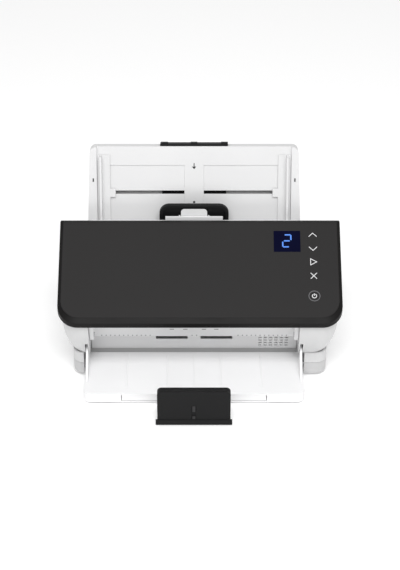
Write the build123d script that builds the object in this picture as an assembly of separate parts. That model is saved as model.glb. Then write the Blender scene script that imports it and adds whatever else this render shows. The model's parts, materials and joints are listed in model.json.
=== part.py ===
from build123d import *
from math import atan2, cos, degrees, hypot, pi, radians, sin, tan
import os

# A sheet fed document scanner. X = 0 is the body's middle, -Y is its front and Z = 0 is the desk.
# The origin is the middle of the plinth's footprint. Everything is in millimetres.

# Driving dimensions
PAPER_WIDTH = 218.0  # between the side guides, wide open
PATH_X = -7.0  # the paper path's middle stands left of the body's middle
SIDE_MARGIN = 42.5  # from the paper opening to the cover's rim, on the right less PATH_X
LIP_Y = -90.0  # the cover's front lip
LIP_Z = 90.0
PANEL_TILT = 28.5
PANEL_LENGTH = 139.0  # up the slope, from the lip to the rear edge
PLINTH_TOP = 34.0
REAR_Y = 66.0
INPUT_TRAY_LENGTH = 120.0
INPUT_TILT = 73.4
OUTPUT_FRONT_Y = -118.0
SKIN = 2.5  # moulded walls

# Clearances
PART_GAP = 0.4  # between mouldings that move past each other
RUN = 0.05  # radial, shafts in their bores
COVER_GAP = 1.0  # under the closed cover
DRAWER_GAP = 0.8  # the output tray's extender, at its sides and below it

# Widths, all measured from the paper path's middle unless they say body
OPENING_HALF = PAPER_WIDTH / 2 + 13.5
COVER_HALF = OPENING_HALF + SIDE_MARGIN  # body
POD_HALF = COVER_HALF - 4.0  # body
PLINTH_HALF = POD_HALF - 11.0  # body
INNER_WALL = 1.6
WING_IN = OPENING_HALF + INNER_WALL + PART_GAP
WING_OUT = WING_IN + SKIN
TRAY_HALF = WING_OUT + 2.5
NOTCH_HALF = TRAY_HALF + 0.8
FRAME_HALF = OPENING_HALF - PART_GAP
PLATE_IN = FRAME_HALF - 11.6
PLATE_THICK = 2.0
PULLEY_IN = PLATE_IN + PLATE_THICK + 2.0
PULLEY_OUT = PULLEY_IN + 6.0
TYRE_IN = 8.5
TYRE_OUT = 44.5

# Plinth and bowl
PLINTH_FRONT = -64.0
PLINTH_REAR = 64.0
PLINTH_CORNER = 13.0
PART_LINE = 19.6
FOOT_HEIGHT = 3.0
BOWL_TOP = 92.0
BOWL_SWEEP = 10.5  # how far the flanks come in at the bowl's bottom
BOWL_FRONT = LIP_Y + 4.0
FRONT_SWEEP = 23.0
NOTCH_Y = -33.0  # the output tray's bay ends here
FRONT_WALL_Y = NOTCH_Y - 2.6
FRONT_WALL_Z = PART_LINE + 0.6
FAR = 300.0  # past the body on every side, for cuts that run right through
FOOT_R = 4.6
SCREW_R = 1.4
PORT_Z = 40.0  # the main board's lower edge is just under this
DC_X = 60.0
USB_X = 34.0


def parting_z(y):
    """Height of the plane under the closed cover."""
    return LIP_Z + (y - LIP_Y) * tan(radians(PANEL_TILT))


def tilted(x, y, z, degrees_up):
    """A plane whose Y runs up a slope and whose Z is the slope's normal."""
    a = radians(degrees_up)
    return Plane(origin=(x, y, z), x_dir=(1, 0, 0), z_dir=(0, -sin(a), cos(a)))


COVER = tilted(0, LIP_Y, LIP_Z, PANEL_TILT)
COVER_REAR = COVER.from_local_coords((0, PANEL_LENGTH, 0))
EXIT_Y = -46.0
EXIT_Z = 48.2
TRAY_Y = COVER_REAR.Y + 9.8
TRAY_Z = COVER_REAR.Z - 37.8
PATH_TILT = degrees(atan2(TRAY_Z - EXIT_Z, TRAY_Y - EXIT_Y))
PATH_LENGTH = hypot(TRAY_Y - EXIT_Y, TRAY_Z - EXIT_Z)
PATH = tilted(PATH_X, EXIT_Y, EXIT_Z, PATH_TILT)
TRAY = tilted(PATH_X, TRAY_Y, TRAY_Z, INPUT_TILT)

# Along the paper path, from the exit edge
PATH_HALF_GAP = 1.2
GUIDE_THICK = 2.2
NIP = 0.15  # half the gap between a roller and its idler
EXIT_AT = 8.0
TRANSPORT_AT = 0.40 * PATH_LENGTH
FEED_AT = 0.732 * PATH_LENGTH
SENSOR_AT = (TRANSPORT_AT + FEED_AT) / 2 - 1.5
SENSOR_HALF = 5.5
DRIVE_R = 9.0
FEED_R = 12.0
IDLER_R = 4.0
TRANSPORT_IDLER_R = 5.0
SEPARATION_R = 10.0
SHAFT_R = 3.0
SMALL_SHAFT_R = 2.0
BELT = 0.8
PULLEY_R = 4.5
FEED_PULLEY_R = PULLEY_R + FEED_R - DRIVE_R
MOTOR_PULLEY_R = 5.0
MOTOR_Y = 10.0
MOTOR_Z = 52.0
MOTOR_R = 17.0
MOTOR_BOSS_R = 3.1
BUSH_R = 5.0

# Hinges and slides
COVER_PIVOT_Y = -62.0
COVER_PIVOT_Z = 60.0
TRAY_PIVOT_Y = -52.0
TRAY_PIVOT_Z = 10.0
TRAY_PIN_R = 2.5
STOP_PIVOT_Y = OUTPUT_FRONT_Y - 32.7
STOP_PIVOT_Z = 6.5
LATCH_PIVOT_Y = COVER_REAR.Y + 6.8
LATCH_PIVOT_Z = COVER_REAR.Z - 7.3
GAP_PIVOT_Y = COVER_REAR.Y + 3.4
GAP_PIVOT_Z = COVER_REAR.Z + 3.7

# Input tray, in its own plane
TRAY_THICK = 12.5
SLOT_AT = INPUT_TRAY_LENGTH - 56.35
SLOT_HALF = 2.15
PINION_TEETH = 16
MODULE = 1.0
PITCH_R = MODULE * PINION_TEETH / 2
NECK_IN = PAPER_WIDTH / 2 - 15.7
NECK_WIDE = 6.0

# Cover
PANEL_TOP = 8.2
PANEL_UNDER = 5.7
PANEL_INSET = 3.5
PANEL_FRONT = 9.0
CORNER_R = 24.0
REAR_ROLL = 7.0  # rounding of the rear top edge
FRAME_WALL = 2.2
ICON_X = 132.4
WINDOW_MIDDLE = (102.15, 108.35)
WINDOW_SIZE = (31.3, 27.9)
POWER_AT = 36.9  # up the slope, in line with the icons
POWER_R = 5.6
BUTTON_TOP = PANEL_TOP - 0.2
ARCH_HALF = 41.0  # the release latch's loop
ARCH_HEIGHT = 27.0
LATCH_PIN_R = 1.6
GAP_PIN_R = 1.2

# Output tray
SLAB_LOW = 2.0
SLAB_HIGH = 15.5
DRAWER_HALF = 84.9  # the extender's room in the tray
DRAWER_LOW = 4.7
DRAWER_HIGH = 13.1
ARM_HALF = 36.0
ARM_LOW = 6.7
ARM_HIGH = 10.7
STOP_HALF = 42.0
STOP_TOP = 47.7
STOP_PIN_R = 1.5
STOP_KNUCKLE_R = 2.6


def block(x0, x1, y0, y1, z0, z1):
    return Pos((x0 + x1) / 2, (y0 + y1) / 2, (z0 + z1) / 2) * Box(x1 - x0, y1 - y0, z1 - z0)


def path_block(x0, x1, y0, y1, z0, z1):
    """A block upright in the body, its X measured from the paper path's middle."""
    return block(x0 + PATH_X, x1 + PATH_X, y0, y1, z0, z1)


def placed(plane, shape):
    return plane.location * shape


def point(plane, y, z):
    """A (Y, Z) pair in the body, from a place in a tilted plane."""
    at = plane.from_local_coords((0, y, z))
    return at.Y, at.Z


def prism(points, x0, x1):
    """An outline in Y and Z, drawn out along X."""
    wire = Polyline([(x0, y, z) for y, z in points], close=True)
    return extrude(make_face(wire), amount=x1 - x0, dir=(1, 0, 0))


def path_prism(points, x0, x1):
    return prism(points, x0 + PATH_X, x1 + PATH_X)


def rod(radius, x0, x1, at):
    """A round bar along X through the (Y, Z) point given, X from the path's middle."""
    middle = (x0 + x1) / 2 + PATH_X
    return Pos(middle, at[0], at[1]) * Rot(0, 90, 0) * Cylinder(radius, x1 - x0)


def tube(outer, inner, x0, x1, at):
    return rod(outer, x0, x1, at) - rod(inner, x0 - 1, x1 + 1, at)


def both_sides(make, x0, x1):
    """The same feature on the left and on the right of the paper path."""
    return make(x0, x1) + make(-x1, -x0)


def rounded(half, front, rear, radius, z0, z1):
    plan = Pos(0, (front + rear) / 2, z0) * RectangleRounded(2 * half, rear - front, radius)
    return extrude(plan, amount=z1 - z0)


def drive_centre(at, radius):
    return point(PATH, at, -NIP - radius)


def idler_centre(at, radius):
    return point(PATH, at, NIP + radius)


EXIT_C = drive_centre(EXIT_AT, DRIVE_R)
TRANSPORT_C = drive_centre(TRANSPORT_AT, DRIVE_R)
FEED_C = drive_centre(FEED_AT, FEED_R)
EXIT_IDLER_C = idler_centre(EXIT_AT, IDLER_R)
TRANSPORT_IDLER_C = idler_centre(TRANSPORT_AT, TRANSPORT_IDLER_R)
SEPARATION_C = idler_centre(FEED_AT, SEPARATION_R)
MOTOR_C = (MOTOR_Y, MOTOR_Z)


# ---------------------------------------------------------------- the standing body


def bowl(inset):
    """The body's swelling sides, narrow at the plinth and full width under the cover."""
    sections = []
    for share in (0.0, 0.2, 0.45, 0.75, 1.0):
        tuck = (1 - share) ** 2
        half = POD_HALF - BOWL_SWEEP * tuck - inset
        front = BOWL_FRONT + FRONT_SWEEP * tuck + inset
        z = PLINTH_TOP + share * (BOWL_TOP - PLINTH_TOP)
        corner = 20 + 6 * share - inset
        plan = RectangleRounded(2 * half, REAR_Y - inset - front, corner)
        sections.append(Pos(0, (front + REAR_Y - inset) / 2, z) * plan)
    upper = extrude(sections[-1], amount=COVER_REAR.Z - BOWL_TOP + 20)
    return loft(sections) + upper


def side_profile(inset):
    """The pods seen from the side: under the cover in front, a lower deck behind it."""
    drop = (COVER_GAP + inset) / cos(radians(PANEL_TILT))
    shoulder = COVER_REAR.Y - 1.7 - inset
    return [
        (LIP_Y - 30, PLINTH_TOP),
        (LIP_Y - 30, parting_z(LIP_Y - 30) - drop),
        (shoulder, parting_z(shoulder) - drop),
        (shoulder + 4.5, TRAY_Z + 15.5 - inset),
        (REAR_Y + 10, TRAY_Z + 3.5 - inset),
        (REAR_Y + 10, PLINTH_TOP),
    ]


def notch(half, z0, z1):
    """The bay in the plinth where the output tray lies."""
    return path_block(-half, half, PLINTH_FRONT - 40, NOTCH_Y, z0, z1)


def plinth_room(z0, z1):
    """The space inside the plinth's walls, less the output tray's bay."""
    front, rear = PLINTH_FRONT + SKIN, PLINTH_REAR - SKIN
    inner = rounded(PLINTH_HALF - SKIN, front, rear, PLINTH_CORNER - SKIN, z0, z1)
    half = NOTCH_HALF + SKIN
    return inner - path_block(-half, half, PLINTH_FRONT - 9, NOTCH_Y + SKIN, z0, z1)


def plinth_ring(z0, z1):
    """A plinth wall with the output tray's bay let into its front."""
    outer = rounded(PLINTH_HALF, PLINTH_FRONT, PLINTH_REAR, PLINTH_CORNER, z0, z1)
    return outer - notch(NOTCH_HALF, z0, z1) - plinth_room(z0, z1)


def screw_places():
    rear = PLINTH_HALF - 17
    front = WING_OUT + 1
    return [(-rear, 46), (rear, 46), (PATH_X - front, -14), (PATH_X + front, -14)]


def base_housing():
    body = bowl(0) & prism(side_profile(0), -COVER_HALF, COVER_HALF)
    hollow = bowl(SKIN) & prism(side_profile(SKIN), -COVER_HALF, COVER_HALF)
    walls = OPENING_HALF + INNER_WALL
    hollow -= path_block(-walls, walls, -FAR, FAR, 0, FAR)
    hollow -= block(-FAR, FAR, -FAR, FAR, 0, PLINTH_TOP + SKIN)
    body -= hollow
    body -= path_block(-OPENING_HALF, OPENING_HALF, -FAR, FAR, 0, FAR)
    ring = plinth_ring(PART_LINE + 0.2, PLINTH_TOP)
    wing_bay = path_block(WING_IN - PART_GAP, NOTCH_HALF, NOTCH_Y - 1, NOTCH_Y + SKIN, 0, PLINTH_TOP)
    ring -= wing_bay + mirror(wing_bay, Plane.YZ.offset(PATH_X))
    body += ring
    low = PART_LINE + 0.2
    post_in = OPENING_HALF - 4.5
    body -= path_block(-post_in, post_in, NOTCH_Y - 1, 0, low + 6, PLINTH_TOP + 9)

    def post(x0, x1):
        return path_block(x0, x1, NOTCH_Y, NOTCH_Y + SKIN, low, PLINTH_TOP + 6)

    body += both_sides(post, post_in, OPENING_HALF + 1)
    slot_in = OPENING_HALF + INNER_WALL

    def wing_slot(x0, x1):
        return path_block(x0, x1, -100, -20, PLINTH_TOP - 1, COVER_PIVOT_Z - 3)

    body -= both_sides(wing_slot, slot_in, WING_OUT + 0.6)
    boss_low, boss_high = PART_LINE + 1.4, PLINTH_TOP + 1
    for x, y in screw_places():
        boss = Pos(x, y, (boss_low + boss_high) / 2) * Cylinder(4, boss_high - boss_low)
        body += boss
    for x, y in screw_places():
        body -= Pos(x, y, PART_LINE) * Cylinder(SCREW_R + 0.1, 24)
    for side in (-1, 1):
        start, end = sorted((side * (OPENING_HALF - 1), side * (slot_in + 1)))
        body -= rod(SHAFT_R, start, end, (COVER_PIVOT_Y, COVER_PIVOT_Z))
    return body


def bottom_cover():
    low = FOOT_HEIGHT
    tray = rounded(PLINTH_HALF, PLINTH_FRONT, PLINTH_REAR, PLINTH_CORNER, low, PART_LINE - 0.2)
    tray = fillet(tray.edges().group_by(Axis.Z)[0], 2.4)
    tray -= notch(NOTCH_HALF, 0, PART_LINE)
    tray -= plinth_room(low + SKIN, PART_LINE)
    for x, y in screw_places():
        tray -= Pos(x, y, low) * Cylinder(SCREW_R + 0.2, 12)
        tray -= Pos(x, y, low) * Cylinder(3.2, 2.4)
    for side in (-1, 1):
        start, end = sorted((side * (NOTCH_HALF - 1), side * (NOTCH_HALF + SKIN + 1)))
        tray -= rod(TRAY_PIN_R, start, end, (TRAY_PIVOT_Y, TRAY_PIVOT_Z))
    return tray


def rubber_feet():
    """Four feet at the corners and one in the middle, which keeps the floor from drumming."""
    places = [(x, y) for x in (-PLINTH_HALF + 6.2, PLINTH_HALF - 12) for y in (-44, 44)]
    places.append((0, 0))
    return [Pos(x, y, FOOT_HEIGHT / 2) * Cylinder(FOOT_R, FOOT_HEIGHT) for x, y in places]


def base_screws():
    screws = []
    for x, y in screw_places():
        head = Pos(x, y, FOOT_HEIGHT + 0.7) * Cylinder(3.0, 1.0)
        shank = Pos(x, y, FOOT_HEIGHT + 7.7) * Cylinder(SCREW_R, 14)
        screws.append(head + shank)
    return screws


def rear_cover():
    """The panel behind the paper path, with the sockets low on its right."""
    half = FRAME_HALF
    top = TRAY_Z - 1.0
    wall = path_block(-half, half, REAR_Y - SKIN, REAR_Y, PLINTH_TOP + 0.3, top)
    inner_y = TRAY_Y + 14
    outline = [
        (REAR_Y, top - SKIN),
        (REAR_Y, top),
        (inner_y, top + 4),
        (inner_y, top + 1.5),
        (REAR_Y - SKIN, top - SKIN),
    ]
    cover = wall + path_prism(outline, -half, half)
    cover -= Pos(DC_X, REAR_Y, PORT_Z + 12) * Rot(90, 0, 0) * Cylinder(5.0, 12)
    cover -= block(USB_X - 6.2, USB_X + 6.2, REAR_Y - 9, REAR_Y + 5, PORT_Z + 6, PORT_Z + 17.2)
    for row in range(5):
        z = PORT_Z + 34 + 6 * row
        cover -= path_block(-60, -20, REAR_Y - 9, REAR_Y + 5, z, z + 2.4)
    return cover


def sensor_window(low, high):
    half, reach = PLATE_IN - 2, SENSOR_HALF + 0.1
    return placed(PATH, block(-half, half, SENSOR_AT - reach, SENSOR_AT + reach, low, high))


def guide_corner():
    return point(PATH, 2.4, -PATH_HALF_GAP - GUIDE_THICK)


def lower_guide():
    """The paper's lower guide and the front wall under the exit edge, in one bent plate."""
    under = -PATH_HALF_GAP - GUIDE_THICK
    outline = [
        point(PATH, 0, -PATH_HALF_GAP),
        point(PATH, PATH_LENGTH - 3.5, -PATH_HALF_GAP),
        point(PATH, PATH_LENGTH - 3.5, under),
        guide_corner(),
        (FRONT_WALL_Y + 2.3, FRONT_WALL_Z),
        (FRONT_WALL_Y, FRONT_WALL_Z),
    ]
    guide = path_prism(outline, -FRAME_HALF, FRAME_HALF)

    def exit_window(x0, x1):
        return path_block(x0, x1, EXIT_Y - 4, EXIT_C[0] + 4, EXIT_Z - 9.5, EXIT_Z + 8)

    def drive_window(x0, x1):
        return rod(DRIVE_R + 0.6, x0, x1, TRANSPORT_C)

    def feed_window(x0, x1):
        return rod(FEED_R + 0.6, x0, x1, FEED_C)

    guide -= both_sides(exit_window, TYRE_IN - 0.8, TYRE_OUT + 0.8)
    guide -= both_sides(lambda x0, x1: rod(DRIVE_R + 0.4, x0, x1, EXIT_C), TYRE_IN - 0.8, TYRE_OUT + 0.8)
    guide -= both_sides(drive_window, TYRE_IN - 0.8, TYRE_OUT + 0.8)
    guide -= both_sides(feed_window, 5.0, 23.0)
    guide -= sensor_window(-4, 0)
    for column in range(6):
        x = 76.5 + 6.3 * column
        for row in range(4):
            z = EXIT_Z - 8.0 - 5.0 * row
            guide -= path_block(x, x + 3.8, EXIT_Y - 4, FRONT_WALL_Y + 6, z, z + 1.8)
    return guide


def chassis_outline():
    return [
        (NOTCH_Y + 3.2, FOOT_HEIGHT + SKIN),
        (NOTCH_Y + 3.2, PART_LINE + 6.8),
        point(PATH, 3.4, -PATH_HALF_GAP - GUIDE_THICK - 3.4),
        point(PATH, PATH_LENGTH * 0.93, -PATH_HALF_GAP - GUIDE_THICK - 0.5),
        (TRAY_Y, 60),
        (TRAY_Y, FOOT_HEIGHT + SKIN),
    ]


def chassis_plate(side):
    """A steel side plate that carries the shafts' bushes, with a foot turned inwards."""
    start, end = sorted((side * PLATE_IN, side * (PLATE_IN + PLATE_THICK)))
    plate = path_prism(chassis_outline(), start, end)
    foot_start, foot_end = sorted((side * (PLATE_IN - 12), side * PLATE_IN))
    plate += path_block(
        foot_start, foot_end, NOTCH_Y + 3.2, TRAY_Y, FOOT_HEIGHT + SKIN, FOOT_HEIGHT + SKIN + PLATE_THICK
    )
    for centre in (EXIT_C, TRANSPORT_C, FEED_C):
        plate -= rod(BUSH_R, start - 1, end + 1, centre)
    if side > 0:
        plate -= rod(MOTOR_BOSS_R + 0.1, start - 1, end + 1, MOTOR_C)
    return plate


def shaft_bushes():
    bushes = []
    for side in (-1, 1):
        for centre in (EXIT_C, TRANSPORT_C, FEED_C):
            start, end = sorted((side * (PLATE_IN - 1.5), side * (PLATE_IN + PLATE_THICK + 1.0)))
            bushes.append(tube(BUSH_R, SHAFT_R + RUN, start, end, centre))
    return bushes


def drive_motor():
    can = rod(MOTOR_R, PLATE_IN - 44, PLATE_IN, MOTOR_C)
    boss = rod(MOTOR_BOSS_R, PLATE_IN, PLATE_IN + 2.6, MOTOR_C)
    return can + boss - rod(SMALL_SHAFT_R + RUN, PLATE_IN - 20, PLATE_IN + 4, MOTOR_C)


def drive_belt():
    """A flat belt round the motor's pulley and the three shafts' pulleys, drawn tight."""

    def loop(extra):
        rings = [
            Pos(EXIT_C[0], EXIT_C[1]) * Circle(PULLEY_R + extra),
            Pos(FEED_C[0], FEED_C[1]) * Circle(FEED_PULLEY_R + extra),
            Pos(MOTOR_C[0], MOTOR_C[1]) * Circle(MOTOR_PULLEY_R + extra),
        ]
        edges = [edge for ring in rings for edge in ring.edges()]
        flat = make_hull(edges)
        upright = Plane(origin=(PATH_X + PULLEY_IN + 0.6, 0, 0), x_dir=(0, 1, 0), z_dir=(1, 0, 0))
        return extrude(upright.location * flat, amount=PULLEY_OUT - PULLEY_IN - 1.2)

    return loop(RUN + BELT) - loop(RUN)


def sensor_bar(low, high):
    half = PLATE_IN - 3
    return placed(PATH, block(-half, half, SENSOR_AT - SENSOR_HALF, SENSOR_AT + SENSOR_HALF, low, high))


def lower_image_sensor():
    return sensor_bar(-13.0, -PATH_HALF_GAP - GUIDE_THICK)


def lower_sensor_glass():
    return sensor_bar(-PATH_HALF_GAP - GUIDE_THICK, -PATH_HALF_GAP - 0.1)


def main_board():
    board = block(-60, 92, REAR_Y - 16, REAR_Y - 14.4, PORT_Z - 4, PORT_Z + 46)
    stand = block(-60, -50, REAR_Y - 16, REAR_Y - 14.4, FOOT_HEIGHT + SKIN, PORT_Z - 4)
    return board + stand + block(70, 80, REAR_Y - 16, REAR_Y - 14.4, FOOT_HEIGHT + SKIN, PORT_Z - 4)


def dc_jack():
    centre = Pos(DC_X, 0, PORT_Z + 12)
    body = block(DC_X - 6, DC_X + 6, REAR_Y - 14.4, REAR_Y - SKIN, PORT_Z + 6, PORT_Z + 18)
    body -= centre * Pos(0, REAR_Y - 7, 0) * Rot(90, 0, 0) * Cylinder(3.2, 12)
    return body + centre * Pos(0, REAR_Y - 9, 0) * Rot(90, 0, 0) * Cylinder(1.0, 10)


def usb_socket():
    body = block(USB_X - 6, USB_X + 6, REAR_Y - 14.4, REAR_Y - 0.6, PORT_Z + 6.2, PORT_Z + 17)
    body -= block(USB_X - 4.4, USB_X + 4.4, REAR_Y - 9.6, REAR_Y, PORT_Z + 7.6, PORT_Z + 15.6)
    return body + block(USB_X - 2.7, USB_X + 2.7, REAR_Y - 10, REAR_Y - 2, PORT_Z + 10, PORT_Z + 13)


# ---------------------------------------------------------------- drive shafts and rollers


def drive_shaft(centre, pulley_r):
    shaft = rod(SHAFT_R, -PLATE_IN - 5, PULLEY_OUT, centre)
    return shaft + rod(pulley_r, PULLEY_IN, PULLEY_OUT, centre)


def tyre_pair(radius, core, x0, x1, centre):
    """Two ribbed rubber tyres: a ring with shallow grooves along it."""
    ribs = 24
    ring = rod(radius, x0, x1, centre)
    for turn in range(ribs):
        a = 2 * pi * turn / ribs
        at = (centre[0] + (radius + 0.1) * cos(a), centre[1] + (radius + 0.1) * sin(a))
        ring -= rod(0.45, x0 - 1, x1 + 1, at)
    ring -= rod(core, x0 - 1, x1 + 1, centre)
    return [ring, mirror(ring, Plane.YZ.offset(PATH_X))]


def motor_pulley():
    shaft = rod(SMALL_SHAFT_R, PLATE_IN - 16, PULLEY_OUT, MOTOR_C)
    return shaft + rod(MOTOR_PULLEY_R, PULLEY_IN, PULLEY_OUT, MOTOR_C)


# ---------------------------------------------------------------- the opening cover


def cover_shell(inset, low, high):
    """The cover's rounded plan, bevelled towards its top, with a rounded rear edge."""

    def plan(side, front, radius, z):
        half = COVER_HALF - side - inset
        flat = Rectangle(2 * half, PANEL_LENGTH - front - inset)
        flat = fillet(flat.vertices().group_by(Axis.Y)[0], radius)
        flat = fillet(flat.vertices().group_by(Axis.Y)[-1], 4)
        return Pos(0, (PANEL_LENGTH + front + inset) / 2, z) * flat

    lower = plan(0, 0, CORNER_R, 0)
    rim = plan(0, 2.4, CORNER_R, 5.5)
    top = plan(PANEL_INSET, PANEL_FRONT, CORNER_R - 2, PANEL_TOP)
    solid = loft([lower, rim], ruled=True) + loft([rim, top], ruled=True)
    return solid & block(-FAR, FAR, -50, FAR, low, high)


def crown(y0, z0, z1):
    """A slab whose rear top edge is rounded over like the cover's."""
    slab = block(-FAR, FAR, y0, PANEL_LENGTH, z0, z1)
    edge = slab.edges().filter_by(Axis.X).group_by(Axis.Z)[-1].sort_by(Axis.Y)[-1]
    return fillet(edge, REAR_ROLL)


def panel_plan(grow, z0, z1):
    half = COVER_HALF - PANEL_INSET + grow
    flat = Rectangle(2 * half, PANEL_LENGTH - PANEL_FRONT + 2 * grow)
    flat = fillet(flat.vertices().group_by(Axis.Y)[0], CORNER_R - 2)
    middle = (PANEL_LENGTH + PANEL_FRONT) / 2
    return extrude(Pos(0, middle, z0) * flat, amount=z1 - z0)


def cover_bezel():
    bezel = cover_shell(0, 0, PANEL_TOP) & crown(-20, -1, PANEL_TOP)
    bezel -= panel_plan(0.0, PANEL_UNDER, PANEL_TOP + 5)
    bezel -= block(-COVER_HALF + 9, COVER_HALF - 9, 14, PANEL_LENGTH - 9, -1, PANEL_UNDER + 1)
    return placed(COVER, bezel)


def window_block(inset, z0, z1):
    x, y = WINDOW_MIDDLE
    half_x, half_y = WINDOW_SIZE[0] / 2 - inset, WINDOW_SIZE[1] / 2 - inset
    return block(x - half_x, x + half_x, y - half_y, y + half_y, z0, z1)


def cover_panel():
    panel = panel_plan(-0.15, PANEL_UNDER, PANEL_TOP) & crown(-20, -1, PANEL_TOP)
    panel -= window_block(0, PANEL_UNDER - 1, PANEL_TOP + 1)
    panel -= Pos(ICON_X, POWER_AT, PANEL_TOP) * Cylinder(POWER_R + 1.3, 1.0)
    panel -= Pos(ICON_X, POWER_AT, PANEL_UNDER) * Cylinder(POWER_R + 0.15, 12)
    return placed(COVER, panel)


def display_window():
    return placed(COVER, window_block(0.1, PANEL_UNDER + 0.3, PANEL_TOP - 0.15))


def display_digit():
    """A slanted seven segment 2, in five lit bars on the window."""
    x, y, wide, high, bar = 101.9, 109.0, 10.0, 17.5, 1.6
    low = PANEL_TOP - 0.15
    slant = tan(radians(8))

    def lit(at_x, at_y, size_x, size_y):
        return Pos(at_x, at_y, low + 0.06) * Box(size_x, size_y, 0.12)

    def flat_bar(row):
        return lit(x, y + row * (high - bar) / 2, wide - 2 * bar, bar)

    def tall_bar(side, row):
        return lit(x + side * (wide - bar) / 2, y + row * high / 4, bar, high / 2 - 1.4 * bar)

    bars = [flat_bar(-1), flat_bar(0), flat_bar(1), tall_bar(1, 1), tall_bar(-1, -1)]
    leaned = []
    for piece in bars:
        shift = (piece.center().Y - y) * slant
        leaned.append(placed(COVER, Pos(shift, 0, 0) * piece))
    return leaned


def stroke(points, wide, low, high):
    """A printed line of even width through the points given."""
    shape = None
    for (xa, ya), (xb, yb) in zip(points, points[1:]):
        turn = degrees(atan2(yb - ya, xb - xa))
        bar = Rot(0, 0, turn) * Box(hypot(xb - xa, yb - ya) + wide, wide, high - low)
        bar = Pos((xa + xb) / 2, (ya + yb) / 2, (low + high) / 2) * bar
        shape = bar if shape is None else shape + bar
    return shape


def touch_icons():
    """Printed symbols for up, down, start and stop: touch keys without travel."""
    low, high, line = PANEL_TOP, PANEL_TOP + 0.08, 0.8
    x = ICON_X
    up = stroke([(x - 4.4, 114.9), (x, 119.2), (x + 4.4, 114.9)], line, low, high)
    down = stroke([(x - 4.4, 100.6), (x, 96.3), (x + 4.4, 100.6)], line, low, high)
    start = stroke([(x - 3.2, 77.2), (x + 3.9, 81.2), (x - 3.2, 85.2), (x - 3.2, 77.2)], line, low, high)
    stop = stroke([(x - 3.3, 59.5), (x + 3.3, 66.5)], line, low, high)
    stop += stroke([(x - 3.3, 66.5), (x + 3.3, 59.5)], line, low, high)
    return [placed(COVER, icon) for icon in (up, down, start, stop)]


def power_ring():
    ring = Cylinder(POWER_R + 1.3, 0.5) - Cylinder(POWER_R + 0.3, 1)
    return placed(COVER, Pos(ICON_X, POWER_AT, PANEL_TOP - 0.25) * ring)


def power_button():
    cap = Pos(ICON_X, POWER_AT, (3.8 + BUTTON_TOP) / 2) * Cylinder(POWER_R, BUTTON_TOP - 3.8)
    return placed(COVER, cap)


def power_icon():
    """The power symbol: an open circle with a bar in its mouth."""
    circle = Cylinder(2.9, 0.08) - Cylinder(2.1, 1) - block(-1.1, 1.1, 0, 4, -1, 1)
    symbol = [circle, block(-0.4, 0.4, 0.4, 3.3, -0.04, 0.04)]
    return [placed(COVER, Pos(ICON_X, POWER_AT, BUTTON_TOP + 0.04) * piece) for piece in symbol]


def control_board():
    board = block(80, 148, 26, 126, 0.3, 1.8)
    board += block(ICON_X - 3, ICON_X + 3, POWER_AT - 3, POWER_AT + 3, 1.8, 2.6)
    return placed(COVER, board)


def frame_outline(inset):
    """The cover's inner frame from the side: chin, upper paper guide, rear wall."""
    front_y = LIP_Y + 7 + inset
    rear_y = COVER_REAR.Y + 2 - inset
    lift = 5 if inset else 0
    return [
        (front_y, parting_z(front_y) + lift),
        (EXIT_Y - 1.5 + inset, EXIT_Z + 12.8),
        point(PATH, -2.6 + inset * 1.2, PATH_HALF_GAP + inset),
        point(PATH, PATH_LENGTH * 0.74, PATH_HALF_GAP + inset),
        point(PATH, PATH_LENGTH * 0.85 - inset, PATH_HALF_GAP + 6.8 + inset),
        (LATCH_PIVOT_Y - 5.6 - inset, LATCH_PIVOT_Z),
        (rear_y, parting_z(rear_y) + lift),
    ]


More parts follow.
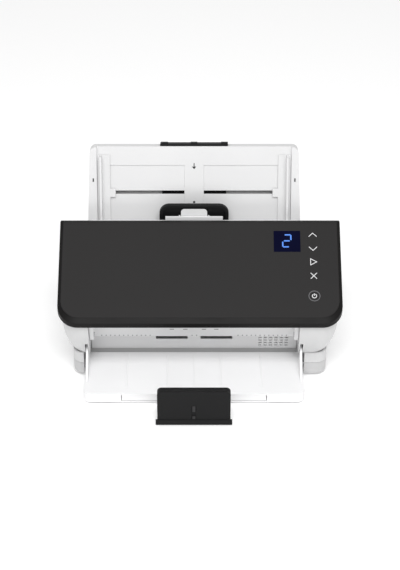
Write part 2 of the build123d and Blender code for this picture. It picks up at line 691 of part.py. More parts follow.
def cover_frame():
    frame = path_prism(frame_outline(0), -FRAME_HALF, FRAME_HALF)
    frame -= path_prism(frame_outline(FRAME_WALL), -FRAME_HALF + FRAME_WALL, FRAME_HALF - FRAME_WALL)

    def ear(x0, x1):
        ear_body = path_prism(
            [
                (COVER_PIVOT_Y - 6.5, COVER_PIVOT_Z),
                (COVER_PIVOT_Y + 6.5, COVER_PIVOT_Z),
                (EXIT_Y - 1.5, EXIT_Z + 15),
                (EXIT_Y - 8, EXIT_Z + 40),
                (LIP_Y + 12, LIP_Z),
            ],
            x0,
            x1,
        )
        return ear_body + rod(6.5, x0, x1, (COVER_PIVOT_Y, COVER_PIVOT_Z))

    frame += both_sides(ear, FRAME_HALF - 4.5, FRAME_HALF)
    for side in (-1, 1):
        start, end = sorted((side * (FRAME_HALF - 6), side * (FRAME_HALF + 1)))
        frame -= rod(SHAFT_R + RUN, start, end, (COVER_PIVOT_Y, COVER_PIVOT_Z))

    def idler_slot(centre, radius):
        return lambda x0, x1: rod(radius, x0, x1, centre)

    for centre in (EXIT_IDLER_C, TRANSPORT_IDLER_C):
        frame -= rod(SMALL_SHAFT_R + 0.4, -51, 51, centre)
    frame -= both_sides(idler_slot(EXIT_IDLER_C, IDLER_R + 0.7), 9.0, 44.0)
    frame -= both_sides(idler_slot(TRANSPORT_IDLER_C, TRANSPORT_IDLER_R + 0.7), 9.0, 44.0)
    frame -= rod(SEPARATION_R + 0.8, -14, 14, SEPARATION_C)
    frame -= sensor_window(0, 4)

    def lug(centre, radius):
        """A bearing that stands on the upper guide and holds one end of a roller's shaft."""
        reach = radius - 1.2

        def make(x0, x1):
            corner = point(PATH, 0, 0)
            shift = Vector(0, centre[0] - corner[0], centre[1] - corner[1]) - PATH.z_dir * reach
            stand = Pos(*shift) * placed(PATH, block(x0, x1, -4, 4, 0, reach))
            return stand + tube(4.0, SMALL_SHAFT_R + RUN, x0, x1, centre)

        return make

    frame += both_sides(lug(EXIT_IDLER_C, IDLER_R), 46.5, 49.0)
    frame += both_sides(lug(TRANSPORT_IDLER_C, TRANSPORT_IDLER_R), 46.5, 49.0)
    frame += both_sides(lug(SEPARATION_C, SEPARATION_R), 16.5, 19.0)
    for side in (-1, 1):
        for centre, inner in ((EXIT_IDLER_C, 46), (TRANSPORT_IDLER_C, 46), (SEPARATION_C, 16)):
            start, end = sorted((side * inner, side * (inner + 4)))
            frame -= rod(SMALL_SHAFT_R + RUN, start, end, centre)
    frame += rear_lip()
    frame += both_sides(latch_lug, ARCH_HALF + 0.4, ARCH_HALF + 3.4)
    frame += both_sides(gap_lug, 16.2, 18.2)
    for side in (-1, 1):
        start, end = sorted((side * (ARCH_HALF - 1), side * (ARCH_HALF + 5)))
        frame -= rod(LATCH_PIN_R, start, end, (LATCH_PIVOT_Y, LATCH_PIVOT_Z))
        start, end = sorted((side * 15, side * 19))
        frame -= rod(GAP_PIN_R + RUN, start, end, (GAP_PIVOT_Y, GAP_PIVOT_Z))
    return frame


def rear_lip():
    """A low white strip that stands behind the panel's rear edge."""
    back = COVER_REAR.Y + 1.7
    return path_block(-34, 34, COVER_REAR.Y + 0.3, back, parting_z(back) - 3, COVER_REAR.Z + 6.7)


def latch_lug(x0, x1):
    wall_y = LATCH_PIVOT_Y - 7.4
    lug = path_block(x0, x1, wall_y, LATCH_PIVOT_Y, LATCH_PIVOT_Z - 3, LATCH_PIVOT_Z + 3)
    return lug + rod(3.0, x0, x1, (LATCH_PIVOT_Y, LATCH_PIVOT_Z))


def gap_lug(x0, x1):
    back = GAP_PIVOT_Y + 2
    return path_block(x0, x1, COVER_REAR.Y + 0.5, back, GAP_PIVOT_Z - 7, GAP_PIVOT_Z + 2)


def release_latch():
    """A squared loop to pull forward, with a thin web across its back."""
    height = ARCH_HEIGHT
    y0, y1 = LATCH_PIVOT_Y - 1.9, LATCH_PIVOT_Y + 2.6
    plan = Rectangle(2 * ARCH_HALF, height + 3)
    plan = fillet(plan.vertices().group_by(Axis.Y)[-1], 12)
    inner = Rectangle(2 * ARCH_HALF - 7.5, height + 3)
    inner = fillet(inner.vertices().group_by(Axis.Y)[-1], 9)
    upright = Plane(origin=(PATH_X, y1, LATCH_PIVOT_Z + height / 2 - 1.5), x_dir=(1, 0, 0), z_dir=(0, -1, 0))
    loop = extrude(upright.location * plan, amount=y1 - y0)
    window = extrude(upright.location * (Pos(0, -3.2, 0) * inner), amount=y1 - y0)
    latch = loop - Pos(0, -1.2, 0) * window
    latch = latch & block(-FAR, FAR, 0, FAR, LATCH_PIVOT_Z - 3, LATCH_PIVOT_Z + height)
    mouth = ARCH_HALF - 3.7
    latch -= path_block(-mouth, mouth, y0 - 1, y1 + 1, LATCH_PIVOT_Z - 4, LATCH_PIVOT_Z + 4)
    for side in (-1, 1):
        start, end = sorted((side * (ARCH_HALF - 5), side * (ARCH_HALF + 1)))
        latch -= rod(LATCH_PIN_R + RUN, start, end, (LATCH_PIVOT_Y, LATCH_PIVOT_Z))
    return latch


def latch_pins():
    at = (LATCH_PIVOT_Y, LATCH_PIVOT_Z)
    inner, outer = ARCH_HALF - 3.4, ARCH_HALF + 3.4
    return [rod(LATCH_PIN_R, inner, outer, at), rod(LATCH_PIN_R, -outer, -inner, at)]


def gap_lever():
    """A small upright tab that eases the grip on thick sheets."""
    plan = Rectangle(31, 13)
    plan = fillet(plan.vertices().group_by(Axis.Y)[-1], 4)
    upright = Plane(origin=(PATH_X, GAP_PIVOT_Y + 0.8, GAP_PIVOT_Z + 5), x_dir=(1, 0, 0), z_dir=(0, -1, 0))
    tab = extrude(upright.location * plan, amount=1.6)
    return tab + rod(GAP_PIN_R, -18, 18, (GAP_PIVOT_Y, GAP_PIVOT_Z))


def upper_image_sensor():
    return sensor_bar(PATH_HALF_GAP + GUIDE_THICK, 13.0)


def upper_sensor_glass():
    return sensor_bar(PATH_HALF_GAP + 0.1, PATH_HALF_GAP + GUIDE_THICK)


def separation_roller():
    return rod(SMALL_SHAFT_R, -20, 20, SEPARATION_C) + rod(SEPARATION_R, -13, 13, SEPARATION_C)


def idler_rollers(radius, x0, x1, centre):
    rollers = rod(SMALL_SHAFT_R, -50.5, 50.5, centre)
    return rollers + rod(radius, x0, x1, centre) + rod(radius, -x1, -x0, centre)


def hinge_pins():
    at = (COVER_PIVOT_Y, COVER_PIVOT_Z)
    inner, outer = FRAME_HALF - 5.5, OPENING_HALF + INNER_WALL
    return [rod(SHAFT_R, inner, outer, at), rod(SHAFT_R, -outer, -inner, at)]


# ---------------------------------------------------------------- the input tray


def tray_outline(grow, z0, z1):
    """The standing tray: a tongue between the pods and a wider face above them."""
    start, step, top = -2.0, 24.0, INPUT_TRAY_LENGTH + grow
    low, wide, narrow = OPENING_HALF - 0.3 + grow, OPENING_HALF + 4 + grow, OPENING_HALF + 0.5 + grow
    right = [(low, start), (low, step), (wide, step + 5), (narrow, top)]
    left = [(-x, y) for x, y in reversed(right)]
    face = make_face(Polyline(right + left, close=True))
    face = fillet(face.vertices().group_by(Axis.Y)[-1], 7 + grow)
    return extrude(Pos(0, 0, z0) * face, amount=z1 - z0)


def input_tray():
    top = INPUT_TRAY_LENGTH
    tray = tray_outline(0, -TRAY_THICK + 2, 0)
    tray -= tray_outline(-SKIN, -TRAY_THICK - 1, -SKIN) & block(-FAR, FAR, -20, top - SKIN, -20, 0)
    rim_in = PAPER_WIDTH / 2 + 6
    rims = tray_outline(0, 0, 4.0) & block(-FAR, FAR, 28, top, 0, 4)
    rims -= block(-rim_in, rim_in, -20, top + 20, -1, 9)
    tray += rims
    panel_out = PAPER_WIDTH / 2 - 9.4

    def feature(x0, x1, y0, y1, z0, z1):
        return block(x0, x1, y0, y1, z0, z1) + block(-x1, -x0, y0, y1, z0, z1)

    tray -= feature(11.5, panel_out, 4, top - 23, -1.0, 1.0)
    tray -= feature(11.5, NECK_IN + NECK_WIDE + 0.6, SLOT_AT - SLOT_HALF, SLOT_AT + SLOT_HALF, -SKIN - 1, 1)
    tray += Pos(0, SLOT_AT, -SKIN - 2.0) * Cylinder(2.0, 4.2)
    tray -= block(-39.4, 39.4, top - 20, top + 5, -TRAY_THICK + 2.0, -7.0)
    return placed(TRAY, tray)


def input_tray_back():
    low = -TRAY_THICK
    return placed(TRAY, tray_outline(0, low, low + 2))


def input_extender():
    top = INPUT_TRAY_LENGTH
    plate = block(-38, 38, top - 78, top + 0.4, -10.2, -7.4)
    cap = block(-40, 40, top + 0.3, top + 2.6, -10.4, -1.0)
    for x in (-35, 0, 36):
        cap += block(x - 4, x + 4, top + 2.5, top + 3.6, -9, -3)
    return placed(TRAY, plate + cap)


def side_guide(side):
    inner = PAPER_WIDTH / 2
    guide = block(inner - 9.5, inner + 5.5, 6, INPUT_TRAY_LENGTH - 10, 0.3, 2.3)
    guide += block(inner, inner + 2.5, 6, INPUT_TRAY_LENGTH - 10, 2.2, 14)
    guide += block(NECK_IN, inner - 9.4, SLOT_AT - 5, SLOT_AT + 5, 0.3, 2.3)
    guide += block(NECK_IN, NECK_IN + NECK_WIDE, SLOT_AT - 1.8, SLOT_AT + 1.8, -2.9, 0.4)
    if side < 0:
        guide = mirror(guide, Plane.YZ)
    return placed(TRAY, guide)


def rack_profile(start, end):
    """A rack with straight flanked teeth, pitch line on X, its body on the +Y side."""
    pitch = pi * MODULE
    lean = MODULE * tan(radians(20))
    half_gap = pitch / 4 + 0.12
    points = [(start, 4.6), (start, 1.25 * MODULE)]
    first = int(start / pitch) + 1
    for tooth in range(first, int(end / pitch)):
        x = tooth * pitch
        base, tip = half_gap - 1.25 * lean, half_gap + lean
        points += [(x - pitch / 2 + base, 1.25), (x - pitch / 2 + tip, -1.0)]
        points += [(x + pitch / 2 - tip, -1.0), (x + pitch / 2 - base, 1.25)]
    points += [(end, 1.25 * MODULE), (end, 4.6)]
    return make_face(Polyline(points, close=True))


def guide_rack(side):
    """The toothed bar behind the tray that ties a side guide to the pinion."""
    reach = NECK_IN + NECK_WIDE
    bar = extrude(Pos(0, SLOT_AT + PITCH_R, -6.2) * rack_profile(-reach, 8.5), amount=3.1)
    link = block(-reach, -NECK_IN, SLOT_AT - 1.8, SLOT_AT + PITCH_R + 4.6, -6.2, -2.9)
    rack = bar + link
    if side > 0:
        rack = Pos(0, SLOT_AT, 0) * Rot(0, 0, 180) * Pos(0, -SLOT_AT, 0) * rack
    return placed(TRAY, rack)


def involute_tooth_width(radius):
    """Half the angle a tooth fills at a radius, with a little backlash."""
    base = PITCH_R * cos(radians(20))

    def inv(r):
        if r <= base:
            return 0.0
        t = ((r / base) ** 2 - 1) ** 0.5
        return t - atan2(t, 1)

    return pi / (2 * PINION_TEETH) - 0.012 + inv(PITCH_R) - inv(radius)


def guide_pinion():
    """The pinion that moves both side guides by the same amount."""
    points = []
    root, tip = PITCH_R - 1.25 * MODULE, PITCH_R + MODULE
    steps = 4
    for tooth in range(PINION_TEETH):
        # a tooth space, not a tooth, points straight at each rack
        middle = 2 * pi * (tooth + 0.5) / PINION_TEETH + pi / 2
        flank = [root + (tip - root) * n / steps for n in range(steps + 1)]
        for r in flank:
            a = middle - involute_tooth_width(r)
            points.append((r * cos(a), r * sin(a)))
        for r in reversed(flank):
            a = middle + involute_tooth_width(r)
            points.append((r * cos(a), r * sin(a)))
    gear = extrude(make_face(Polyline(points, close=True)), amount=2.9)
    gear = Pos(0, SLOT_AT, -6.1) * (gear - Cylinder(2.0 + RUN, 20))
    return placed(TRAY, gear)


# ---------------------------------------------------------------- the output tray


def output_tray():
    """The drop down tray: a hollow slab, a thin apron behind it and two upright wings."""
    front, back = OUTPUT_FRONT_Y, PLINTH_FRONT + 2
    low, high = SLAB_LOW, SLAB_HIGH
    corners = [(-WING_OUT, back), (-TRAY_HALF, front), (TRAY_HALF, front), (WING_OUT, back)]
    face = make_face(Polyline(corners, close=True))
    face = fillet(face.vertices().group_by(Axis.Y)[0], 9)
    slab = Pos(PATH_X, 0, low) * extrude(face, amount=high - low)
    slab = fillet(slab.edges().group_by(Axis.Z)[0].sort_by(Axis.Y)[0], 2.0)
    slab -= path_block(-DRAWER_HALF, DRAWER_HALF, front - 5, back - 4, DRAWER_LOW, DRAWER_HIGH)

    def pocket(x0, x1):
        return path_block(x0, x1, front + 3, back - 2.5, 0, high - SKIN)

    slab -= both_sides(pocket, DRAWER_HALF + 2.6, WING_IN - 2.5)
    slab += path_block(-WING_OUT, WING_OUT, back - 0.1, NOTCH_Y - 4.5, high - SKIN, high)
    for x in (-79.0, -31.5, 0, 31.5, 79.0):
        slab += path_block(x - 1, x + 1, front + 12, back + 20, high - 0.1, high + 0.5)
    pivot = (TRAY_PIVOT_Y, TRAY_PIVOT_Z)

    def wing(x0, x1):
        outline = [(0, 4.6), (4.5, 13), (-4.5, 49), (-6, 51), (-10, 51), (-12, 49), (-43, 16.5), (-43, 8)]
        return path_prism([(TRAY_PIVOT_Y + y, z) for y, z in outline], x0, x1)

    def boss(x0, x1):
        return rod(5.4, x0, x1, pivot)

    slab += both_sides(wing, WING_IN, WING_OUT)
    slab += both_sides(boss, WING_IN, TRAY_HALF)
    for side in (-1, 1):
        start, end = sorted((side * (WING_IN - 1), side * (TRAY_HALF + 1)))
        slab -= rod(TRAY_PIN_R + RUN, start, end, pivot)
    return slab


def tray_hinge_pins():
    at = (TRAY_PIVOT_Y, TRAY_PIVOT_Z)
    outer = NOTCH_HALF + SKIN
    return [rod(TRAY_PIN_R, WING_IN + 0.2, outer, at), rod(TRAY_PIN_R, -outer, -WING_IN - 0.2, at)]


def tray_extender():
    """The wide white drawer that pulls out of the tray's front."""
    half, low, high = DRAWER_HALF - DRAWER_GAP, DRAWER_LOW + DRAWER_GAP, DRAWER_HIGH - 0.3
    drawer = path_block(-half, half, OUTPUT_FRONT_Y + 0.3, OUTPUT_FRONT_Y + 48, low, high)
    channel = ARM_HALF + 0.3
    front, back = OUTPUT_FRONT_Y - 5, OUTPUT_FRONT_Y + 60
    drawer -= path_block(-channel, channel, front, back, ARM_LOW - 0.3, ARM_HIGH + 0.3)

    def pocket(x0, x1):
        return path_block(x0, x1, OUTPUT_FRONT_Y + 3, OUTPUT_FRONT_Y + 45, low + 1.6, high + 1)

    return drawer - both_sides(pocket, channel + 2, half - 2)


def extender_arm():
    """The black arm that carries the end stop."""
    end = STOP_PIVOT_Y
    arm = path_block(-ARM_HALF, ARM_HALF, end + 7, OUTPUT_FRONT_Y + 13, ARM_LOW, ARM_HIGH)

    def finger(x0, x1):
        lug = path_block(x0, x1, end, end + 8, STOP_PIVOT_Z - STOP_KNUCKLE_R, ARM_HIGH)
        return lug + rod(STOP_KNUCKLE_R, x0, x1, (STOP_PIVOT_Y, STOP_PIVOT_Z))

    arm += both_sides(finger, ARM_HALF - 6, ARM_HALF)
    for side in (-1, 1):
        start, end = sorted((side * (ARM_HALF - 7), side * (ARM_HALF + 1)))
        arm -= rod(STOP_PIN_R + RUN, start, end, (STOP_PIVOT_Y, STOP_PIVOT_Z))
    return arm


def end_stop():
    """The black stop that keeps the sheets on the tray: a plate with turned edges."""
    front = STOP_PIVOT_Y - 5.5
    half, top = STOP_HALF, STOP_TOP
    plate = Rectangle(2 * half, top - 1)
    plate = fillet(plate.vertices().group_by(Axis.Y)[-1], 5)
    upright = Plane(origin=(PATH_X, front + 9, (top + 1) / 2), x_dir=(1, 0, 0), z_dir=(0, -1, 0))
    shell = extrude(upright.location * plate, amount=9)
    room = Rectangle(2 * half - 4.4, top - 1)
    room = fillet(room.vertices().group_by(Axis.Y)[-1], 3.5)
    shell -= extrude(upright.location * (Pos(0, -2.2, 0) * room), amount=6.6)
    shell -= path_block(-ARM_HALF - 3.9, ARM_HALF + 3.9, front + 2.4, front + 13, 0, 12)
    shell += path_block(-half - 2, half + 2, front - 0.8, front + 1.5, 1.0, 7.5)
    shell -= path_block(-2.8, 2.8, front - 2, front + 1.1, 8.5, 28)
    shell += path_block(-1.9, 1.9, front + 0.2, front + 1.5, 19, 27.5)
    shell += path_block(-1.9, 1.9, front + 0.2, front + 1.5, 8.4, 13)
    pin = (STOP_PIVOT_Y, STOP_PIVOT_Z)
    return shell + both_sides(lambda x0, x1: rod(STOP_PIN_R, x0, x1, pin), ARM_HALF - 5.8, half - 0.5)


def write(name, shape):
    shapes = list(shape) if isinstance(shape, (list, tuple)) else [shape]
    solids = [solid for item in shapes for solid in item.solids()]
    export_step(Compound(label=name, children=solids), f"parts/{name}.step")


NODES = {
    "base_housing": base_housing,
    "bottom_cover": bottom_cover,
    "rubber_feet": rubber_feet,
    "base_screws": base_screws,
    "rear_cover": rear_cover,
    "lower_guide": lower_guide,
    "chassis_plate_left": lambda: chassis_plate(-1),
    "chassis_plate_right": lambda: chassis_plate(1),
    "shaft_bushes": shaft_bushes,
    "drive_motor": drive_motor,
    "drive_belt": drive_belt,
    "lower_image_sensor": lower_image_sensor,
    "lower_sensor_glass": lower_sensor_glass,
    "main_board": main_board,
    "dc_jack": dc_jack,
    "usb_socket": usb_socket,
    "cover_hinge_pins": hinge_pins,
    "tray_hinge_pins": tray_hinge_pins,
    "motor_pulley": motor_pulley,
    "feed_shaft": lambda: drive_shaft(FEED_C, FEED_PULLEY_R),
    "feed_tyres": lambda: tyre_pair(FEED_R, SHAFT_R, 6, 22, FEED_C),
    "transport_shaft": lambda: drive_shaft(TRANSPORT_C, PULLEY_R - RUN),
    "transport_tyres": lambda: tyre_pair(DRIVE_R, SHAFT_R, TYRE_IN, TYRE_OUT, TRANSPORT_C),
    "exit_shaft": lambda: drive_shaft(EXIT_C, PULLEY_R),
    "exit_tyres": lambda: tyre_pair(DRIVE_R, SHAFT_R, TYRE_IN, TYRE_OUT, EXIT_C),
    "cover_bezel": cover_bezel,
    "cover_panel": cover_panel,
    "display_window": display_window,
    "display_digit": display_digit,
    "touch_icons": touch_icons,
    "power_ring": power_ring,
    "power_button": power_button,
    "power_icon": power_icon,
    "control_board": control_board,
    "cover_frame": cover_frame,
    "latch_pins": latch_pins,
    "release_latch": release_latch,
    "gap_lever": gap_lever,
    "upper_image_sensor": upper_image_sensor,
    "upper_sensor_glass": upper_sensor_glass,
    "separation_roller": separation_roller,
    "transport_idlers": lambda: idler_rollers(TRANSPORT_IDLER_R, 10, 43, TRANSPORT_IDLER_C),
    "exit_idlers": lambda: idler_rollers(IDLER_R, 10, 43, EXIT_IDLER_C),
    "input_tray": input_tray,
    "input_tray_back": input_tray_back,
    "input_extender": input_extender,
    "left_guide": lambda: side_guide(-1),
    "right_guide": lambda: side_guide(1),
    "left_rack": lambda: guide_rack(-1),
    "right_rack": lambda: guide_rack(1),
    "guide_pinion": guide_pinion,
    "output_tray": output_tray,
    "tray_extender": tray_extender,
    "extender_arm": extender_arm,
    "end_stop": end_stop,
}


if __name__ == "__main__":
    os.makedirs("parts", exist_ok=True)
    for name, make in NODES.items():
        write(name, make())
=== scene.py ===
"""Finishes, light and camera for the sheet fed document scanner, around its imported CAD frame."""

import json
import math

import bpy
from mathutils import Matrix, Vector


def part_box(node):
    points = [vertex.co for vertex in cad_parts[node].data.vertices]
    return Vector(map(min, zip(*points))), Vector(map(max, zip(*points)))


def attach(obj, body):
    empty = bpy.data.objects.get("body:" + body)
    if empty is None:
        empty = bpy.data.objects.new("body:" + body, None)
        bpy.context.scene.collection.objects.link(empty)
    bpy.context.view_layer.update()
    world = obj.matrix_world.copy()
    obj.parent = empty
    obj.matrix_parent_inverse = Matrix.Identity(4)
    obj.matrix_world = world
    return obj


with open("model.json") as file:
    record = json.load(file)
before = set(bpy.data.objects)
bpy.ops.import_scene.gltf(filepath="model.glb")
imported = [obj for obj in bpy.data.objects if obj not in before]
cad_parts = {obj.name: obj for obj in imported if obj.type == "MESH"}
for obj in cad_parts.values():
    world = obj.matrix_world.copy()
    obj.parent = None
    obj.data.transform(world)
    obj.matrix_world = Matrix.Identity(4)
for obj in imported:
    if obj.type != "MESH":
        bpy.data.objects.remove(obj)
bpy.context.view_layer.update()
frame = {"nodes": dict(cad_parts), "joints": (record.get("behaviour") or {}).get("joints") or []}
nodes = frame["nodes"]
joints = {joint["name"]: joint for joint in frame["joints"]}

# ---------------------------------------------------------------- sizes of the small details, in metres

EDGE_RADIUS = 0.0006
BEVEL_SAMPLES = 6
GUIDE_HEIGHT = 0.014  # from the input tray's surface to the top of a side guide
PRINT_LIFT = 0.00002
PRINT_THICK = 0.00006
INLAY_THICK = 0.00012

ARROW_UP = 0.0354
ARROW_SHAFT = (0.0011, 0.0050)
ARROW_SHAFT_DROP = 0.0018
ARROW_HALF = 0.0026
ARROW_HEAD_DROP = 0.0036
ARROW_TIP_DROP = 0.0068
DOT_UP = -0.0118
DOT_RADIUS = 0.0014
TICK_ACROSS = 0.1195
TICK_UP = 0.0163
TICK_SIZE = (0.0016, 0.0042)
RIM_LIFT = 0.00402

CHIN_RISE = 0.0135
CHIN_LEAN = 0.0013
CHIN_STROKES = (-0.0262, -0.0104, 0.0116, 0.0262)
CHIN_STROKE_UP = 0.70  # share of the strip's rise
CHIN_STROKE_SIZE = (0.0052, 0.0009)
# the chin points are painted shade: grey dots for the shadowed gaps between the exit slot's ribs
CHIN_POINT_FIRST = 0.052
CHIN_POINT_PITCH = 0.0052
CHIN_POINT_COUNT = 12
CHIN_POINT_MIDDLES = (-0.0024, 0.0030)
CHIN_POINT_UP = 0.0012
CHIN_POINT_RADIUS = 0.0007
CHIN_POINT_STEPS = 10

STOP_FACE = 0.0053  # from the stop's hinge forward to its front face
STRIP_WIDTH = 0.0034
LONG_STRIP = (0.02325, 0.0081)
SHORT_STRIP = (0.0107, 0.0042)

FLOOR_HALF = 6.0
FLOOR_DROP = 0.0004

# ---------------------------------------------------------------- camera and light

CAMERA_ELEVATION = math.radians(35)
CAMERA_DISTANCE = 2.2
CAMERA_TARGET = Vector((0.0, -0.014, 0.097))
CAMERA_LENS = 117.45
SENSOR_WIDTH = 36
CLIP_END = 30

WORLD_STRENGTH = 0.52
# place, aim, size and power of each light
FRONT_LIGHT = ((0.05, -1.3, 1.95), (0.0, 0.0, 0.06), (1.5, 0.9), 35)
TOP_LIGHT = ((-0.2, 0.3, 1.9), (0.0, 0.0, 0.1), (1.6, 1.2), 2)


def make_camera():
    data = bpy.data.cameras.new("camera")
    data.sensor_width = SENSOR_WIDTH
    data.lens = CAMERA_LENS
    data.clip_end = CLIP_END
    camera = bpy.data.objects.new("camera", data)
    bpy.context.collection.objects.link(camera)
    back = Vector((0, -math.cos(CAMERA_ELEVATION), math.sin(CAMERA_ELEVATION)))
    camera.location = CAMERA_TARGET + back * CAMERA_DISTANCE
    camera.rotation_euler = (-back).to_track_quat("-Z", "Y").to_euler()
    bpy.context.scene.camera = camera


def area_light(name, place, aim, size, power):
    data = bpy.data.lights.new(name, "AREA")
    data.shape = "RECTANGLE"
    data.size, data.size_y = size
    data.energy = power
    light = bpy.data.objects.new(name, data)
    bpy.context.collection.objects.link(light)
    light.location = place
    direction = Vector(aim) - Vector(place)
    light.rotation_euler = direction.to_track_quat("-Z", "Y").to_euler()


def make_studio():
    world = bpy.data.worlds.new("studio")
    world.use_nodes = True
    background = world.node_tree.nodes["Background"]
    background.inputs["Color"].default_value = (1.0, 1.0, 1.0, 1.0)
    background.inputs["Strength"].default_value = WORLD_STRENGTH
    bpy.context.scene.world = world
    bpy.context.scene.view_settings.view_transform = "Standard"
    area_light("front_light", *FRONT_LIGHT)
    area_light("top_light", *TOP_LIGHT)


# ---------------------------------------------------------------- materials


class Recipe:
    """A material with its shader and short helpers for adding nodes."""

    def __init__(self, name):
        self.material = bpy.data.materials.new(name)
        self.material.use_nodes = True
        self.tree = self.material.node_tree
        self.shader = self.tree.nodes["Principled BSDF"]
        self.place = self.add("ShaderNodeTexCoord").outputs["Object"]
        self.soft = None

    def add(self, kind, **values):
        node = self.tree.nodes.new(kind)
        for key, value in values.items():
            node.inputs[key].default_value = value
        return node

    def link(self, source, target):
        self.tree.links.new(source, target)

    def noise(self, scale, detail=2.0, stretch=None):
        node = self.add("ShaderNodeTexNoise", Scale=scale, Detail=detail)
        source = self.place
        if stretch:
            mapping = self.add("ShaderNodeMapping", Scale=stretch)
            self.link(self.place, mapping.inputs["Vector"])
            source = mapping.outputs["Vector"]
        self.link(source, node.inputs["Vector"])
        return node.outputs["Fac"]

    def ramp(self, source, low, high, start=0.0, end=1.0):
        node = self.add("ShaderNodeMapRange")
        node.inputs["From Min"].default_value = start
        node.inputs["From Max"].default_value = end
        node.inputs["To Min"].default_value = low
        node.inputs["To Max"].default_value = high
        self.link(source, node.inputs["Value"])
        return node.outputs["Result"]

    def mix(self, factor, first, second):
        node = self.tree.nodes.new("ShaderNodeMix")
        node.data_type = "RGBA"
        inputs = [s for s in node.inputs if s.type == "RGBA"]
        for socket, value in zip(inputs, (first, second)):
            if hasattr(value, "links"):
                self.link(value, socket)
            else:
                socket.default_value = (*value, 1.0)
        if hasattr(factor, "links"):
            self.link(factor, node.inputs[0])
        else:
            node.inputs[0].default_value = factor
        return [s for s in node.outputs if s.type == "RGBA"][0]

    def colour(self, value):
        self.link(value, self.shader.inputs["Base Color"])

    def rough(self, source, low, high):
        self.link(self.ramp(source, low, high), self.shader.inputs["Roughness"])

    def bump(self, source, depth, strength=1.0, after=None):
        node = self.add("ShaderNodeBump", Strength=strength, Distance=depth)
        self.link(source, node.inputs["Height"])
        if after is not None:
            self.link(after, node.inputs["Normal"])
        self.link(node.outputs["Normal"], self.shader.inputs["Normal"])
        return node.outputs["Normal"]

    def soft_normal(self, radius):
        """The surface's normal, turned over moulded edges as a small radius would turn it."""
        if self.soft is None:
            node = self.tree.nodes.new("ShaderNodeBevel")
            node.samples = BEVEL_SAMPLES
            node.inputs["Radius"].default_value = radius
            self.soft = node.outputs["Normal"]
        return self.soft

    def edges(self, radius):
        """How near an arris the surface is, as a mask for painted highlights along arrises: 0 on flats and 1
        along the arris.
        """
        geometry = self.add("ShaderNodeNewGeometry")
        dot = self.tree.nodes.new("ShaderNodeVectorMath")
        dot.operation = "DOT_PRODUCT"
        self.link(self.soft_normal(radius), dot.inputs[0])
        self.link(geometry.outputs["Normal"], dot.inputs[1])
        return self.ramp(dot.outputs["Value"], 1.0, 0.0, 0.78, 0.99)

    def set(self, **values):
        for key, value in values.items():
            self.shader.inputs[key.replace("_", " ")].default_value = value


def shade(colour, factor):
    return tuple(min(1.0, c * factor) for c in colour)


def moulded(name, colour, rough, grain=2600.0, depth=0.00006, edge_highlight=1.06, shine=0.5):
    """Moulded plastic: spark eroded grain, faint clouding, and a painted highlight that lightens the colour
    along its arrises.
    """
    r = Recipe(name)
    cloud = r.noise(9.0, 3.0)
    base = r.mix(r.ramp(cloud, 0.0, 1.0, 0.3, 0.7), shade(colour, 0.975), shade(colour, 1.015))
    # painted highlight: the colour turns lighter along the arrises, where a rounded corner would catch the
    # light
    base = r.mix(r.edges(EDGE_RADIUS), base, shade(colour, edge_highlight))
    r.colour(base)
    r.rough(r.noise(60.0, 4.0), rough - 0.05, rough + 0.06)
    fine = r.bump(r.noise(grain, 2.0), depth, 0.35, after=r.soft_normal(EDGE_RADIUS))
    r.bump(r.noise(grain * 0.22, 1.0), depth * 1.5, 0.12, after=fine)
    r.set(Specular_IOR_Level=shine)
    return r.material


def gloss(name, colour, rough=0.09):
    """Polished plastic: nearly smooth, with faint wipe marks in the shine."""
    r = Recipe(name)
    # painted highlight: the bezel's colour is 1.6 times lighter along its arrises
    base = r.mix(r.edges(EDGE_RADIUS), colour, shade(colour, 1.6))
    r.colour(base)
    wipe = r.noise(26.0, 5.0, stretch=(1.0, 5.0, 5.0))
    r.rough(wipe, rough * 0.6, rough * 1.6)
    r.bump(r.noise(140.0, 2.0), 0.00002, 0.15, after=r.soft_normal(EDGE_RADIUS))
    r.set(Specular_IOR_Level=0.12)
    return r.material


def steel(name, colour=(0.56, 0.56, 0.57), rough=0.34, stretch=(1.0, 40.0, 40.0)):
    """Plated steel with fine drawn lines."""
    r = Recipe(name)
    lines = r.noise(120.0, 4.0, stretch=stretch)
    r.colour(r.mix(lines, shade(colour, 0.9), shade(colour, 1.08)))
    r.rough(lines, rough - 0.08, rough + 0.1)
    r.bump(lines, 0.00002, 0.4)
    r.set(Metallic=1.0)
    return r.material


def rubber(name, colour=(0.022, 0.022, 0.024), rough=0.78):
    """Matte rubber with a dusty bloom on its high spots."""
    r = Recipe(name)
    bloom = r.noise(180.0, 5.0)
    r.colour(r.mix(r.ramp(bloom, 0.0, 0.5, 0.45, 0.8), colour, shade(colour, 2.6)))
    r.rough(r.noise(90.0, 3.0), rough - 0.08, rough + 0.08)
    r.bump(r.noise(3200.0, 2.0), 0.00008, 0.5)
    return r.material


def board(name):
    """Solder mask over copper: squared lighter tracks on green."""
    r = Recipe(name)
    cells = r.add("ShaderNodeTexBrick", Scale=220.0)
    r.link(r.place, cells.inputs["Vector"])
    r.colour(r.mix(cells.outputs["Fac"], (0.012, 0.09, 0.03), (0.03, 0.2, 0.07)))
    r.rough(r.noise(80.0, 2.0), 0.3, 0.45)
    r.bump(cells.outputs["Fac"], 0.00003, 0.5)
    return r.material


def display_glass(name):
    """A dark window over a faintly lit blue panel."""
    r = Recipe(name)
    glow = r.noise(45.0, 2.0)
    r.colour(r.mix(glow, (0.002, 0.002, 0.012), (0.003, 0.004, 0.02)))
    r.rough(r.noise(30.0, 2.0), 0.06, 0.14)
    r.bump(r.noise(120.0, 1.0), 0.00001, 0.1)
    r.set(Emission_Color=(0.01, 0.015, 0.2, 1.0), Emission_Strength=0.015, Specular_IOR_Level=0.03)
    return r.material


